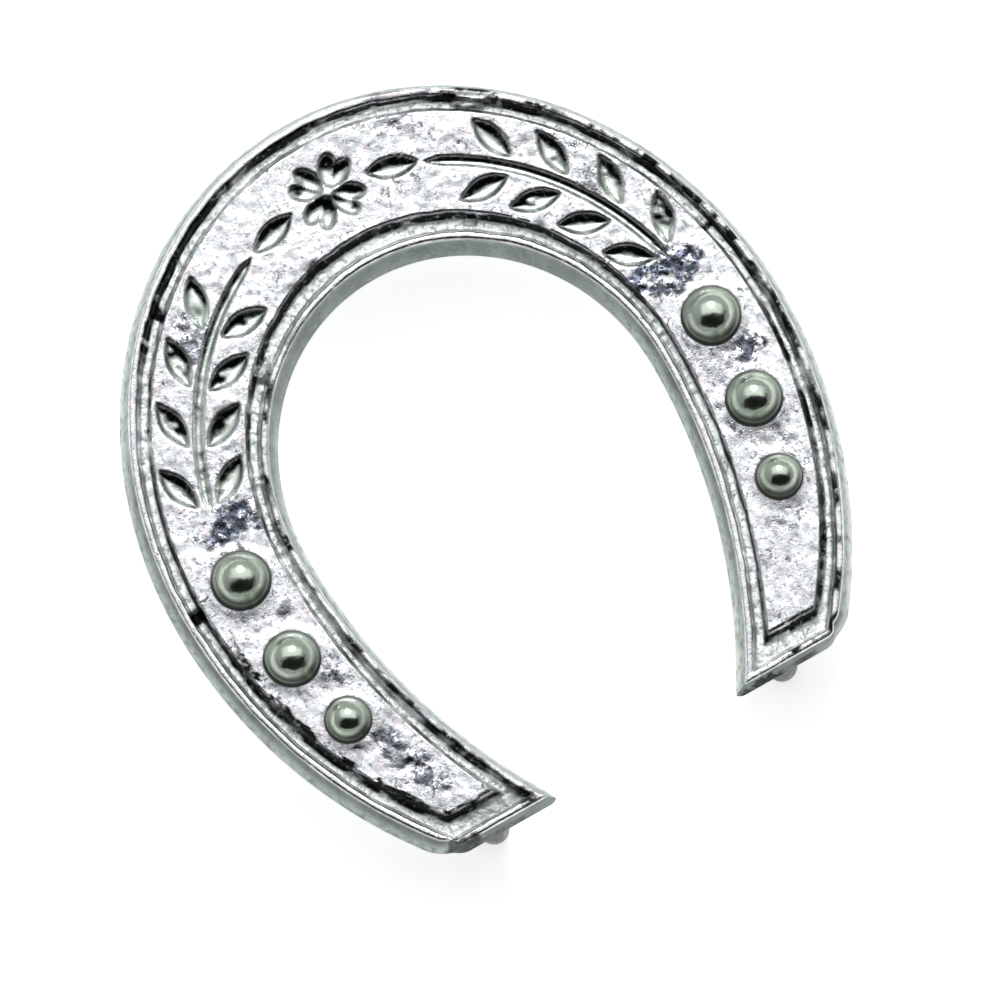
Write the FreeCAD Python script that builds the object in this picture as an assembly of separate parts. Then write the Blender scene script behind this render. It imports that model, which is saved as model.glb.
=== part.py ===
import FreeCAD, Part
import math
import os

# A small cast good-luck horseshoe emblem, face up on three back pegs. Millimetres.
# X runs across the shoe, Y runs from the heels to the toe, Z is up. The origin is
# under the middle of the shoe, at the tips of the pegs.

# Levels above the peg tips
PEG_LENGTH = 4.5
BACK_Z = PEG_LENGTH
CHANNEL_Z = BACK_Z + 1.25
LIP_Z = BACK_Z + 1.80
FIELD_Z = BACK_Z + 2.00

# Every outline is a half ellipse round the toe, which meets a circular arc down each
# leg on the line Y = WAIST_Y. Each row: outer half width, outer toe height above the
# waist, outer leg radius, inner half width, inner toe height, inner leg radius, and
# the Y of the straight heel end.
WAIST_Y = -1.5
BACK_EDGE = (17.60, 20.00, 26.4, 10.00, 10.80, 31.7, -18.50)
LIP_OUTER = (17.10, 19.50, 25.9, 10.50, 11.35, 32.2, -18.25)
LIP_INNER = (16.75, 19.05, 25.5, 10.85, 11.70, 32.5, -17.90)
CHANNEL_WALL = (16.60, 18.85, 25.3, 11.00, 11.90, 32.7, -17.75)
FIELD_ROOT = (16.20, 18.45, 24.2, 11.30, 12.55, 34.4, -16.95)
FIELD_TOP = (16.00, 18.20, 23.9, 11.50, 12.90, 34.8, -16.60)
# Corner radii at the heel ends: the two outer corners, then the two inner ones
PLATE_CORNERS = (1.10, 0.60)
CHANNEL_CORNERS = (0.70, 0.35)
FIELD_CORNERS = (0.30, 0.25)
# The middle of each heel across the leg, and how far in Y its corners reach from the end
HEEL_MIDDLE_X = 8.40
CORNER_REACH = 1.0

# Studs on each leg: size, X, Y, collar radius, dome radius, dome height
STUDS = (
    ("large", 13.65, -1.10, 1.55, 1.42, 1.15),
    ("medium", 13.40, -5.85, 1.47, 1.34, 1.10),
    ("small", 12.50, -9.95, 1.22, 1.09, 0.95),
)
COLLAR_HEIGHT = 0.15
COLLAR_ROUNDING = 0.09
SHANK_RADIUS = 0.60
TAIL_RADIUS = 0.95
TAIL_DEPTH = 0.35
# How far shapes that are joined run into each other, and how far cutters stand out
OVERLAP = 0.10
CUTTER_EXCESS = 1.0

# Back pegs: side, X, Y. Each has a thinner tenon that is let into the plate.
PEG_HEEL_Y = -17.50
PEG_TOE_Y = 13.90
PEGS = (
    ("left_heel", -HEEL_MIDDLE_X, PEG_HEEL_Y),
    ("right_heel", HEEL_MIDDLE_X, PEG_HEEL_Y),
    ("toe", 0.0, PEG_TOE_Y),
)
PEG_RADIUS = 0.80
PEG_CHAMFER = 0.15
TENON_RADIUS = 0.60
TENON_TAPER = 0.20
TENON_LENGTH = 0.70

# Engraved sprigs: one on each side, with a four-leaf clover between them at the toe
STEM_LINE = (13.75, 15.55)
STEM_ANGLES = (15.0, 69.0)
STEM_WIDTH = 0.60
STEM_DEPTH = 0.26
LEAF_ANGLES = (21.0, 32.5, 44.0, 55.5)
TIP_LEAF_ANGLE = 75.5
LEAF_HALF_LENGTH = 1.45
LEAF_HALF_WIDTH = 0.62
LEAF_DEPTH = 0.34
LEAF_OFFSET = 1.30
LEAF_TILT = 36.0
CLOVER_CENTRE = (0.0, 14.05)
CLOVER_REACH = 1.10
CLOVER_HALF_LENGTH = 0.95
CLOVER_HALF_WIDTH = 0.52
CLOVER_LEAN = 16.0


def half_ellipse(half_width, height, z):
    """The toe end of an outline, from its right end round to its left end."""
    middle = FreeCAD.Vector(0, WAIST_Y, z)
    top = FreeCAD.Vector(0, WAIST_Y + height, z)
    left = FreeCAD.Vector(-half_width, WAIST_Y, z)
    curve = Part.Ellipse(top, left, middle)
    return curve.toShape(-math.pi / 2, math.pi / 2)


def leg_x(half_width, radius, y):
    """The half width of a leg arc at the height y below the waist."""
    drop = WAIST_Y - y
    return half_width - radius + math.sqrt(radius * radius - drop * drop)


def leg_arc(half_width, radius, heel_y, side, z):
    """One leg of an outline, from the waist to the heel."""
    middle_y = (WAIST_Y + heel_y) / 2
    start = FreeCAD.Vector(side * half_width, WAIST_Y, z)
    middle = FreeCAD.Vector(side * leg_x(half_width, radius, middle_y), middle_y, z)
    end = FreeCAD.Vector(side * leg_x(half_width, radius, heel_y), heel_y, z)
    return Part.Arc(start, middle, end).toShape()


def outline(sizes, z):
    """A closed horseshoe outline at the level z."""
    out_width, out_height, out_leg, in_width, in_height, in_leg, heel_y = sizes
    heel_out = leg_x(out_width, out_leg, heel_y)
    heel_in = leg_x(in_width, in_leg, heel_y)
    edges = [half_ellipse(out_width, out_height, z)]
    for side in (-1, 1):
        outer = leg_arc(out_width, out_leg, heel_y, side, z)
        inner = leg_arc(in_width, in_leg, heel_y, side, z)
        heel = Part.makeLine(
            FreeCAD.Vector(side * heel_out, heel_y, z),
            FreeCAD.Vector(side * heel_in, heel_y, z),
        )
        edges += [outer, heel, inner]
    edges.append(half_ellipse(in_width, in_height, z))
    return Part.Wire(Part.__sortEdges__(edges))


def drafted(low_sizes, low_z, high_sizes, high_z, corners):
    """A horseshoe block with sloping walls and rounded heel corners."""
    block = Part.makeLoft([outline(low_sizes, low_z), outline(high_sizes, high_z)], True, True)
    outer_edges = []
    inner_edges = []
    for edge in block.Edges:
        ends = [vertex.Point for vertex in edge.Vertexes]
        if len(ends) < 2 or abs(ends[0].z - ends[1].z) < 0.01:
            continue
        if max(point.y for point in ends) > low_sizes[6] + CORNER_REACH:
            continue
        middle_x = abs(ends[0].x + ends[1].x) / 2
        if middle_x > HEEL_MIDDLE_X:
            outer_edges.append(edge)
        else:
            inner_edges.append(edge)
    block = block.makeFillet(corners[0], outer_edges)
    return block.makeFillet(corners[1], find_again(block, inner_edges))


def find_again(shape, edges):
    """The edges of shape that still lie where the given edges were."""
    found = []
    for old in edges:
        spot = old.CenterOfMass
        best = min(shape.Edges, key=lambda edge: (edge.CenterOfMass - spot).Length)
        found.append(best)
    return found


def on_stem(angle):
    """The point and the direction of the stem line at an angle round the toe."""
    turn = math.radians(angle)
    x = STEM_LINE[0] * math.cos(turn)
    y = WAIST_Y + STEM_LINE[1] * math.sin(turn)
    along = math.degrees(math.atan2(STEM_LINE[1] * math.cos(turn), -STEM_LINE[0] * math.sin(turn)))
    return x, y, along


def placed(shape, x, y, heading):
    """A cutter turned to its heading, with its middle on the field's surface."""
    shape.rotate(FreeCAD.Vector(0, 0, 0), FreeCAD.Vector(0, 0, 1), heading)
    shape.translate(FreeCAD.Vector(x, y, FIELD_Z))
    return shape


def leaf(x, y, heading):
    """A cutter for a leaf that is pointed at both ends."""
    tip = FreeCAD.Vector(LEAF_HALF_LENGTH, 0, 0)
    side = FreeCAD.Vector(0, LEAF_HALF_WIDTH, 0)
    edges = [Part.Arc(-tip, side, tip).toShape(), Part.makeLine(tip, -tip)]
    spindle = Part.Face(Part.Wire(edges)).revolve(FreeCAD.Vector(0, 0, 0), FreeCAD.Vector(1, 0, 0), 360)
    flatten = FreeCAD.Matrix()
    flatten.scale(FreeCAD.Vector(1, 1, LEAF_DEPTH / LEAF_HALF_WIDTH))
    return placed(spindle.transformGeometry(flatten), x, y, heading)


def dish(x, y, heading):
    """A cutter for one rounded lobe of a clover leaf."""
    stretch = FreeCAD.Matrix()
    stretch.scale(FreeCAD.Vector(CLOVER_HALF_LENGTH, CLOVER_HALF_WIDTH, LEAF_DEPTH))
    return placed(Part.makeSphere(1.0).transformGeometry(stretch), x, y, heading)


def stem(side):
    """A V groove along the stem line of one sprig."""
    middle = FreeCAD.Vector(0, WAIST_Y, FIELD_Z)
    top = FreeCAD.Vector(0, WAIST_Y + STEM_LINE[1], FIELD_Z)
    left = FreeCAD.Vector(-STEM_LINE[0], WAIST_Y, FIELD_Z)
    low, high = (math.radians(90.0 - angle) for angle in STEM_ANGLES)
    curve = Part.Ellipse(top, left, middle)
    if side > 0:
        path = curve.toShape(-low, -high)
    else:
        path = curve.toShape(high, low)
    start = path.valueAt(path.FirstParameter)
    forward = path.tangentAt(path.FirstParameter)
    across = forward.cross(FreeCAD.Vector(0, 0, 1))
    rise = FreeCAD.Vector(0, 0, STEM_DEPTH)
    half = across * STEM_WIDTH
    corners = [start - rise, start + half + rise, start - half + rise, start - rise]
    profile = Part.makePolygon(corners)
    return Part.Wire(path).makePipeShell([profile], True, True)


def sprig(side):
    """The cutters of one sprig: a stem, pairs of leaves and a last leaf at the tip."""
    cutters = [stem(side)]
    for angle in LEAF_ANGLES:
        x, y, along = on_stem(angle)
        for lean in (1, -1):
            away = math.radians(along + lean * 90.0)
            leaf_x = x + LEAF_OFFSET * math.cos(away)
            leaf_y = y + LEAF_OFFSET * math.sin(away)
            heading = along + lean * LEAF_TILT
            if side < 0:
                leaf_x = -leaf_x
                heading = 180.0 - heading
            cutters.append(leaf(leaf_x, leaf_y, heading))
    x, y, along = on_stem(TIP_LEAF_ANGLE)
    cutters.append(leaf(side * x, y, along if side > 0 else 180.0 - along))
    return cutters


def clover():
    """The cutters of the four-leaf clover: two overlapping dishes for each leaf."""
    cutters = []
    for quarter in range(4):
        middle = 45.0 + 90.0 * quarter
        for lean in (-CLOVER_LEAN, CLOVER_LEAN):
            heading = middle + lean
            turn = math.radians(heading)
            x = CLOVER_CENTRE[0] + CLOVER_REACH * math.cos(turn)
            y = CLOVER_CENTRE[1] + CLOVER_REACH * math.sin(turn)
            cutters.append(dish(x, y, heading))
    return cutters


def turned(points, x, y):
    """A solid turned round the upright line through x, y."""
    rim = [FreeCAD.Vector(radius, 0, z) for radius, z in points]
    face = Part.Face(Part.makePolygon(rim + [rim[0]]))
    solid = face.revolve(FreeCAD.Vector(0, 0, 0), FreeCAD.Vector(0, 0, 1), 360)
    solid.translate(FreeCAD.Vector(x, y, 0))
    return solid


def shank_points(top_z):
    """The outline of a stud's shank and its peened tail, up to the level top_z."""
    return [
        (0, BACK_Z),
        (TAIL_RADIUS, BACK_Z),
        (SHANK_RADIUS, BACK_Z + TAIL_DEPTH),
        (SHANK_RADIUS, top_z),
        (0, top_z),
    ]


def stud(x, y, collar_radius, dome_radius, dome_height):
    """A rivet with a domed head on a collar, its tail peened flush with the back."""
    shank = turned(shank_points(FIELD_Z + OVERLAP), x, y)
    base = FreeCAD.Vector(x, y, FIELD_Z)
    collar = Part.makeCylinder(collar_radius, COLLAR_HEIGHT, base)
    rim = [edge for edge in collar.Edges if edge.CenterOfMass.z > FIELD_Z + COLLAR_HEIGHT / 2
           and len(edge.Vertexes) == 1]
    collar = collar.makeFillet(COLLAR_ROUNDING, rim)
    ball_radius = (dome_radius ** 2 + dome_height ** 2) / (2 * dome_height)
    ball_z = FIELD_Z + COLLAR_HEIGHT + dome_height - ball_radius
    ball = Part.makeSphere(ball_radius, FreeCAD.Vector(x, y, ball_z))
    foot = FreeCAD.Vector(x, y, FIELD_Z + OVERLAP)
    dome = ball.common(Part.makeCylinder(collar_radius, 2 * ball_radius, foot))
    return shank.fuse([collar, dome]).removeSplitter()


def peg(x, y):
    """A round back peg with a chamfered tip and a tenon that tapers in at the plate's back."""
    return turned(
        [
            (0, 0),
            (PEG_RADIUS - PEG_CHAMFER, 0),
            (PEG_RADIUS, PEG_CHAMFER),
            (PEG_RADIUS, BACK_Z),
            (TENON_RADIUS, BACK_Z + TENON_TAPER),
            (TENON_RADIUS, BACK_Z + TENON_LENGTH),
            (0, BACK_Z + TENON_LENGTH),
        ],
        x,
        y,
    )


def shoe_plate():
    """The cast plate: wall, lip, channel, field, engraving, stud holes, peg sockets."""
    plate = drafted(BACK_EDGE, BACK_Z, LIP_OUTER, LIP_Z, PLATE_CORNERS)
    recess = drafted(CHANNEL_WALL, CHANNEL_Z, LIP_INNER, LIP_Z, CHANNEL_CORNERS)
    field = drafted(FIELD_ROOT, CHANNEL_Z, FIELD_TOP, FIELD_Z, FIELD_CORNERS)
    plate = plate.cut(recess).fuse(field)
    cutters = sprig(1) + sprig(-1) + clover()
    for side in (-1, 1):
        for size, x, y, *head in STUDS:
            cutters.append(turned(shank_points(FIELD_Z + CUTTER_EXCESS), side * x, y))
    for place, x, y in PEGS:
        cutters.append(peg(x, y))
    return plate.cut(cutters)


def export(name, shape):
    """Write one node and say how sound it is."""
    box = shape.BoundBox
    print(name, "valid", shape.isValid(), "solids", len(shape.Solids), "volume", round(shape.Volume, 3),
          "x", round(box.XMin, 3), round(box.XMax, 3), "y", round(box.YMin, 3), round(box.YMax, 3),
          "z", round(box.ZMin, 3), round(box.ZMax, 3))
    shape.exportStep("parts/" + name + ".step")


os.makedirs("parts", exist_ok=True)
export("shoe_plate", shoe_plate())
for side_name, side in (("left", -1), ("right", 1)):
    for size, x, y, *head in STUDS:
        export(side_name + "_stud_" + size, stud(side * x, y, *head))
for place, x, y in PEGS:
    export(place + "_peg", peg(x, y))
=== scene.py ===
import bpy
import math
import numpy as np
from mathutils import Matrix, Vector


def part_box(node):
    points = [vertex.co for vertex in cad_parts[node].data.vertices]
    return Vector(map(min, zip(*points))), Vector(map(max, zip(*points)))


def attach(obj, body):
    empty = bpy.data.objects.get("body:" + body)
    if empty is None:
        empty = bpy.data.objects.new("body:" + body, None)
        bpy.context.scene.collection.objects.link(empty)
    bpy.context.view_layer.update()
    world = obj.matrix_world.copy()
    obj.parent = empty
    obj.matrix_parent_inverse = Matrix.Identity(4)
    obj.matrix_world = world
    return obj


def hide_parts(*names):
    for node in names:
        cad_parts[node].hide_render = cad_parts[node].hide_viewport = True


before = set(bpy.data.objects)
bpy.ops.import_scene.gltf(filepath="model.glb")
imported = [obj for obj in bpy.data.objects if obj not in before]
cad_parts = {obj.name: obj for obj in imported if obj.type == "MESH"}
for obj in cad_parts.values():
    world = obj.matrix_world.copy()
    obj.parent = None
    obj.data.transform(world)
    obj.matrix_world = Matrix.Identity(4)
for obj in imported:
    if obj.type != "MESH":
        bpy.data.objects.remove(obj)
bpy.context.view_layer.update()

# Looks for the small cast good-luck horseshoe emblem. The plate is rebuilt as one dense
# relief of the same size as the CAD plate, with its worn lip, sandy channel, crinkled bright
# field, engraved sprigs and small casting flaws. Lengths here are in millimetres and are
# turned into metres only when a mesh is made.

MM = 0.001


def node_box(name):
    """A CAD node's corners in millimetres."""
    low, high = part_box(name)
    return [value / MM for value in low], [value / MM for value in high]


PLATE_LOW, PLATE_HIGH = node_box("shoe_plate")
BACK_Z = PLATE_LOW[2]
FIELD_Z = PLATE_HIGH[2]
LIP_Z = BACK_Z + 1.80
CHANNEL_Z = BACK_Z + 1.25

# Each outline is a half ellipse round the toe that meets a circular arc down each leg on the
# line Y = WAIST_Y. Outer half width, outer toe height, outer leg radius, inner half width,
# inner toe height, inner leg radius, heel Y.
WAIST_Y = -1.5
OUTLINES = np.array([
    (17.60, 20.00, 26.4, 10.00, 10.80, 31.7, -18.50),
    (17.10, 19.50, 25.9, 10.50, 11.35, 32.2, -18.25),
    (16.75, 19.05, 25.5, 10.85, 11.70, 32.5, -17.90),
    (16.60, 18.85, 25.3, 11.00, 11.90, 32.7, -17.75),
    (16.20, 18.45, 24.2, 11.30, 12.55, 34.4, -16.95),
    (16.00, 18.20, 23.9, 11.50, 12.90, 34.8, -16.60),
])
LAST = len(OUTLINES) - 1
LEVELS = (BACK_Z, LIP_Z, LIP_Z, CHANNEL_Z, CHANNEL_Z, FIELD_Z)
DISTANCES = (0.0, 0.50, 0.85, 1.00, 1.40, 1.60)
EDGE_SOFTNESS = 0.045
CORNER_RADII = (1.10, 0.60)

# How finely each stretch of the relief is divided
BORDER_STEPS = (7, 5, 3, 6, 4)
FIELD_STEPS = 54
TOE_STEPS = 420
LEG_STEPS = 92
HEEL_STEPS = (5, 8, 3, 5, 5)

# The back is coarser: its first column of points inside the border, and the step after it
BACK_FIRST = 4
BACK_STEP = 6

# Engraved ornament, as on the CAD plate
STEM_LINE = (13.75, 15.55)
STEM_ANGLES = (15.0, 69.0)
STEM_WIDTH = 0.60
STEM_DEPTH = 0.26
STEM_WALL = 0.12
STEM_TAPER = 5.0
LEAF_ANGLES = (21.0, 32.5, 44.0, 55.5)
TIP_LEAF_ANGLE = 75.5
LEAF_HALF_LENGTH = 1.45
LEAF_HALF_WIDTH = 0.62
LEAF_DEPTH = 0.34
LEAF_WALL = 0.17
LEAF_SLOPE = 0.9
LEAF_OFFSET = 1.30
LEAF_TILT = 36.0
CLOVER_CENTRE = (0.0, 14.05)
CLOVER_REACH = 1.10
CLOVER_HALF_LENGTH = 0.95
CLOVER_HALF_WIDTH = 0.52
CLOVER_LEAN = 16.0

# The level direction that the light comes from
LIT_SIDE = (0.4975, 0.8675)
TINY = 1e-12
LEAST_WEIGHT = 1e-4

# Rough, dark-pitted patches of the field: X, Y, half width, half length, turn, strength
ROUGH_PATCHES = (
    (-12.9, 1.5, 2.0, 1.1, 20.0, 1.0),
    (-12.5, -3.4, 0.7, 0.5, 40.0, 0.6),
    (-11.9, -7.5, 0.8, 1.0, 30.0, 0.7),
    (-10.8, -13.2, 0.9, 2.3, 25.0, 0.8),
    (12.8, 1.9, 2.0, 1.2, -10.0, 1.0),
    (14.6, -3.4, 0.9, 0.8, 0.0, 0.9),
    (13.6, -8.6, 0.8, 0.6, 0.0, 0.4),
    (11.9, -12.0, 1.2, 0.8, 0.0, 0.5),
    (-9.9, 10.9, 1.6, 1.0, 40.0, 0.6),
    (4.6, 15.4, 1.2, 0.6, -15.0, 0.5),
    (12.0, 7.9, 0.9, 1.0, 0.0, 0.5),
    (13.2, -5.0, 1.7, 5.5, 0.0, 0.32),
)

# Stretches where the dark line at the foot of the field is heavier, in the same order
HEAVY_LINES = (
    (-12.6, -10.5, 3.0, 7.5, 27.0, 1.0),
    (-3.0, 17.0, 2.0, 4.0, 100.0, 0.5),
)

# Stains off the field, in the same order; the last three are painted shadow low on the heel ends
STAINS_AND_HEEL_SHADOWS = (
    (8.92, 15.11, 0.17, 1.15, 56.0, 1.0),
    (8.79, 14.93, 0.36, 0.90, 56.0, 0.62),
    (9.74, 14.10, 0.36, 0.22, 56.0, 1.0),
    (4.76, 17.02, 0.32, 1.60, 72.0, 0.50),
    (-10.9, -18.25, 0.50, 1.10, 90.0, 0.85),
    (-8.4, -17.35, 0.45, 2.60, 80.0, 0.40),
    (6.6, -18.52, 0.17, 1.60, 90.0, 0.85),
)

# Casting flaws in the channel: X, Y, half width, half length, turn, rise, darkness
FLAWS = (
    (8.64, 14.63, 0.46, 0.95, 60.0, 0.30, -0.40),
    (-10.6, 13.0, 0.35, 0.85, 35.0, -0.10, 1.0),
    (-7.3, 7.8, 0.30, 0.60, -50.0, 0.40, 0.3),
    (15.6, 3.1, 0.22, 0.55, 90.0, -0.12, 1.0),
    (-16.5, -1.6, 0.42, 0.62, 0.0, -0.12, 1.0),
    (-15.9, 5.9, 0.30, 0.40, 20.0, 0.25, 0.3),
    (5.6, 9.3, 0.40, 0.25, -30.0, 0.25, 0.3),
    (-8.6, -7.2, 0.25, 0.60, 20.0, 0.22, 0.3),
)

SIDES = ("left", "right")
STUD_SIZES = ("large", "medium", "small")
PEG_NAMES = ("left_heel_peg", "right_heel_peg", "toe_peg")

# What the material reads on the plate's back, and the angle past which its edges stay sharp
BACK_VALUES = {
    "patina_and_shade": 0.15, "grain": 0.6, "field": 0.0, "rough": 0.0, "side": 0.6, "cut": 0.0, "low": 0.3,
}
SHARP_ANGLE = 70.0

# Studs: radius and height over the back for the tail, inset and height over the field for
# the collar, and the dome as a share of the radius that starts at a height over the field
STUD_TAIL = ((0.0, 0.0), (0.55, 0.0), (0.82, 0.02), (0.94, 0.06))
SHANK_RADIUS = 0.60
STUD_COLLAR = ((0.03, -0.06), (0.0, -0.01), (0.01, 0.05), (0.05, 0.10), (0.11, 0.15))
DOME_SHARE = 0.86
DOME_BASE = 0.12
DOME_ANGLES = (16.0, 89.5)
DOME_STEPS = 36
STUD_SEGMENTS = 96
PEG_SEGMENTS = 72
PEG_ROUNDING = 0.18

# Soft steps along the way in from the back edge: where a band fades in, then where it fades
# out, each as two distances in millimetres
FIELD_START = (1.48, 1.62)
FIELD_SURFACE = 1.59
CHANNEL_BAND = ((0.90, 1.05), (1.36, 1.50))
FIELD_WALL_BAND = ((1.36, 1.42), (1.53, 1.59))
LIP_WALL_BAND = ((0.84, 0.90), (0.99, 1.05))
LIP_TOP_BAND = ((0.52, 0.60), (0.82, 0.88))
UPPER_SIDE_BAND = ((0.10, 0.40), (0.44, 0.50))
FIELD_LINE_BAND = ((1.34, 1.42), (1.53, 1.60))
LIP_LINE_BAND = ((0.68, 0.78), (1.00, 1.07))
HEAVY_LINE_START = (1.20, 1.32)
RIGHT_FOOT_START = (1.20, 1.30)
SIDE_END = (0.42, 0.52)
INNER_SHADE_END = (0.40, 0.48)
LOW_SIDE_END = (0.02, 0.36)
HEEL_FOOT_END = (0.18, 0.34)
FLAW_START = (0.80, 0.95)
FLAW_STAIN_START = (0.70, 0.85)

# Uneven surfaces, as layers of noise: height in millimetres, size of its lumps, seed
WOBBLE = ((0.035, 1.1, 5), (0.02, 0.4, 6))
SWELL = ((0.022, 3.2, 11), (0.014, 1.3, 12))
CRINKLE_HEIGHT = 0.014
ROUGH_CRINKLE_HEIGHT = 0.034
GRAIN_HEIGHT = 0.034
CHANNEL_SWELL = (0.018, 0.8, 24)
SIDE_GRAIN_HEIGHT = 0.012
STUD_FILLET_HEIGHT = 0.05

# Darkness of the patina and of the painted shade, from 0 to 1
LIT_LIP_DARKNESS = 0.45
UPPER_SIDE_DARKNESS = 0.45
UPPER_SIDE_EASE_AT_TOE = 0.35
RIGHT_FOOT_DARKNESS = 0.95
DULL_LIP_DARKNESS = 0.80
INNER_SHADE_DARKNESS = 0.32
STUD_CREASE_DARKNESS = 0.55
LIP_LINE_DARKNESS = 0.92
INNER_LEFT_EASE = 0.42
RIGHT_LEG_EASE = 0.85

# Colours
SILVER_COOL = (0.86, 0.90, 0.92, 1.0)
SILVER_WARM = (0.96, 0.91, 0.95, 1.0)
SILVER_BLUED = (0.085, 0.10, 0.14, 1.0)
SAND_DARK = (0.86, 0.92, 0.88, 1.0)
SAND_LIGHT = (0.97, 1.0, 0.98, 1.0)
CAST_DARK = (0.25, 0.31, 0.28, 1.0)
CAST_LIGHT = (0.43, 0.49, 0.46, 1.0)
# Painted light, low on the sides
CAST_LOW_PAINTED_LIGHT = (0.88, 0.92, 0.90, 1.0)
CUT_TINT = (0.66, 0.74, 0.66, 1.0)
# Patina and painted shade on the plate
PATINA_AND_SHADE_BLACK = (0.010, 0.013, 0.011, 1.0)
STUD_DARK = (0.52, 0.60, 0.50, 1.0)
STUD_LIGHT = (0.67, 0.75, 0.64, 1.0)
# Patina and painted shade on the studs
STUD_PATINA_AND_SHADE = (0.03, 0.035, 0.028, 1.0)
PEG_TONE = (0.20, 0.22, 0.20, 1.0)
# Stains and painted shade on the pegs
PEG_STAIN_AND_SHADE = (0.02, 0.024, 0.02, 1.0)
FLOOR_DARK = (0.90, 0.90, 0.90, 1.0)
FLOOR_LIGHT = (0.92, 0.92, 0.92, 1.0)
WHITE = (1.0, 1.0, 1.0, 1.0)
SKY = (0.97, 0.99, 1.0, 1.0)

# Camera, in degrees and millimetres
CAMERA_AZIMUTH = -29.83
CAMERA_ELEVATION = 79.5
CAMERA_DISTANCE = 900.0
CAMERA_LOOKS_AT = (-0.28, -3.98, LIP_Z)
PICTURE_WIDTH = 50.35
SENSOR = 36.0
CLIP = (0.01, 10.0)

# Light. The tent's strips lie between two planes that lean from upright towards the far side
# by so many degrees, and reach so far to either side.
FLOOR_HALF = 600.0
FLOOR_STEPS = 8
FLOOR_GLOW = 0.68
FAR_WALL_LEVEL = 0.50
NEAR_WALL_LEVEL = 0.27
WALL_TURN = 0.95
DARK_LEVEL = 0.04
DARK_FROM = -66.0
DARK_TO = 1.0
DARK_WIDTH = 0.90
DARK_FADE = 0.20
DARK_TWIST = -18.0
DARK_SHIFT = 0.08
PANEL_FROM = 2.0
PANEL_TO = 56.0
PANEL_WIDTH = 0.92
PANEL_SOFT_END = 0.30
PANEL_LEVEL = 1.12
NEAR_FROM = -76.0
NEAR_TO = -68.0
NEAR_WIDTH = 0.95
NEAR_SOFT = 0.05
NEAR_LEVEL = 0.80
KEY_SIZE = 0.34
KEY_POWER = 3.0
KEY_ELEVATION = 52.0
KEY_DISTANCE = 0.9


# ---------------------------------------------------------------- noise

def smooth_step(low, high, value):
    part = np.clip((value - low) / (high - low), 0.0, 1.0)
    return part * part * (3.0 - 2.0 * part)


def noise(x, y, size, seed):
    """Smooth noise from -1 to 1 whose lumps are about size millimetres across."""
    table = np.random.default_rng(seed).uniform(-1.0, 1.0, (256, 256))
    u = x / size + 97.3
    v = y / size + 31.7
    column = np.floor(u).astype(int)
    row = np.floor(v).astype(int)
    part_u = u - column
    part_v = v - row
    part_u = part_u ** 3 * (part_u * (part_u * 6.0 - 15.0) + 10.0)
    part_v = part_v ** 3 * (part_v * (part_v * 6.0 - 15.0) + 10.0)

    def corner(across, along):
        return table[(column + across) % 256, (row + along) % 256]

    near = corner(0, 0) * (1.0 - part_u) + corner(1, 0) * part_u
    far = corner(0, 1) * (1.0 - part_u) + corner(1, 1) * part_u
    return near * (1.0 - part_v) + far * part_v


def rough_noise(x, y, size, seed, octaves=3):
    """Noise with finer lumps on its lumps."""
    total = 0.0
    strength = 1.0
    for octave in range(octaves):
        total = total + strength * noise(x, y, size / 2.0 ** octave, seed + octave)
        strength *= 0.55
    return total


# ---------------------------------------------------------------- outline grid

def outline_values(rank):
    """The outline sizes at a rank from 0, the back edge, to LAST, the field's edge."""
    return [np.interp(rank, range(LAST + 1), OUTLINES[:, column]) for column in range(7)]


def leg_x(half_width, radius, y):
    drop = WAIST_Y - y
    return half_width - radius + np.sqrt(radius * radius - drop * drop)


def stations():
    """The rows of the grid from the right heel round the toe to the left heel: each row's
    kind, and its angle round the toe or its Y on a leg."""
    heel_ys = list(OUTLINES[::-1, 6])
    leg = list(np.linspace(WAIST_Y, heel_ys[0], LEG_STEPS + 1)[1:])
    for start, end, steps in zip(heel_ys, heel_ys[1:], HEEL_STEPS):
        leg += list(np.linspace(start, end, steps + 1)[1:])
    toe = np.linspace(0.0, math.pi, TOE_STEPS + 1)
    rows = [("right", y) for y in reversed(leg)]
    rows += [("toe", angle) for angle in toe]
    rows += [("left", y) for y in leg]
    return rows


def outline_point(half_width, height, leg_radius, kind, place):
    """A point of one outline curve at a station."""
    if kind == "toe":
        return half_width * math.cos(place), WAIST_Y + height * math.sin(place)
    side = 1.0 if kind == "right" else -1.0
    return side * leg_x(half_width, leg_radius, place), place


def columns():
    """The columns of the grid from the outer back edge to the inner one: the rank, and the
    share of the way from the outer side to the inner side."""
    ranks = [0.0]
    for number, steps in enumerate(BORDER_STEPS):
        ranks += [number + (step + 1) / steps for step in range(steps)]
    shares = [0.0] * len(ranks)
    field = [(step + 1) / FIELD_STEPS for step in range(FIELD_STEPS - 1)]
    all_ranks = ranks + [float(LAST)] * len(field) + ranks[::-1]
    all_shares = shares + field + [1.0] * len(ranks)
    return all_ranks, all_shares


def rounded_corners(x, y):
    """Pulls the square heel corners in to round ones, the outer ones first."""
    out_width, _, out_radius, in_width, _, in_radius, heel_y = OUTLINES[0]
    borders = ((out_width, out_radius, 1.0), (in_width, in_radius, -1.0))
    for (half_width, leg_radius, inward), radius in zip(borders, CORNER_RADII):
        edge_x = leg_x(half_width, leg_radius, np.clip(y, heel_y, WAIST_Y))
        from_edge = radius - inward * (edge_x - np.abs(x))
        from_heel = radius - (y - heel_y)
        inside = (from_edge > 0) & (from_heel > 0) & (y < WAIST_Y)
        square = np.maximum(from_edge, from_heel)
        circle = np.sqrt(from_edge ** 2 + from_heel ** 2) + TINY
        scale = np.where(inside, square / circle, 1.0)
        new_x = edge_x - inward * (radius - from_edge * scale)
        x = np.where(inside, np.sign(x) * new_x, x)
        y = np.where(inside, heel_y + radius - from_heel * scale, y)
    return x, y


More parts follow.
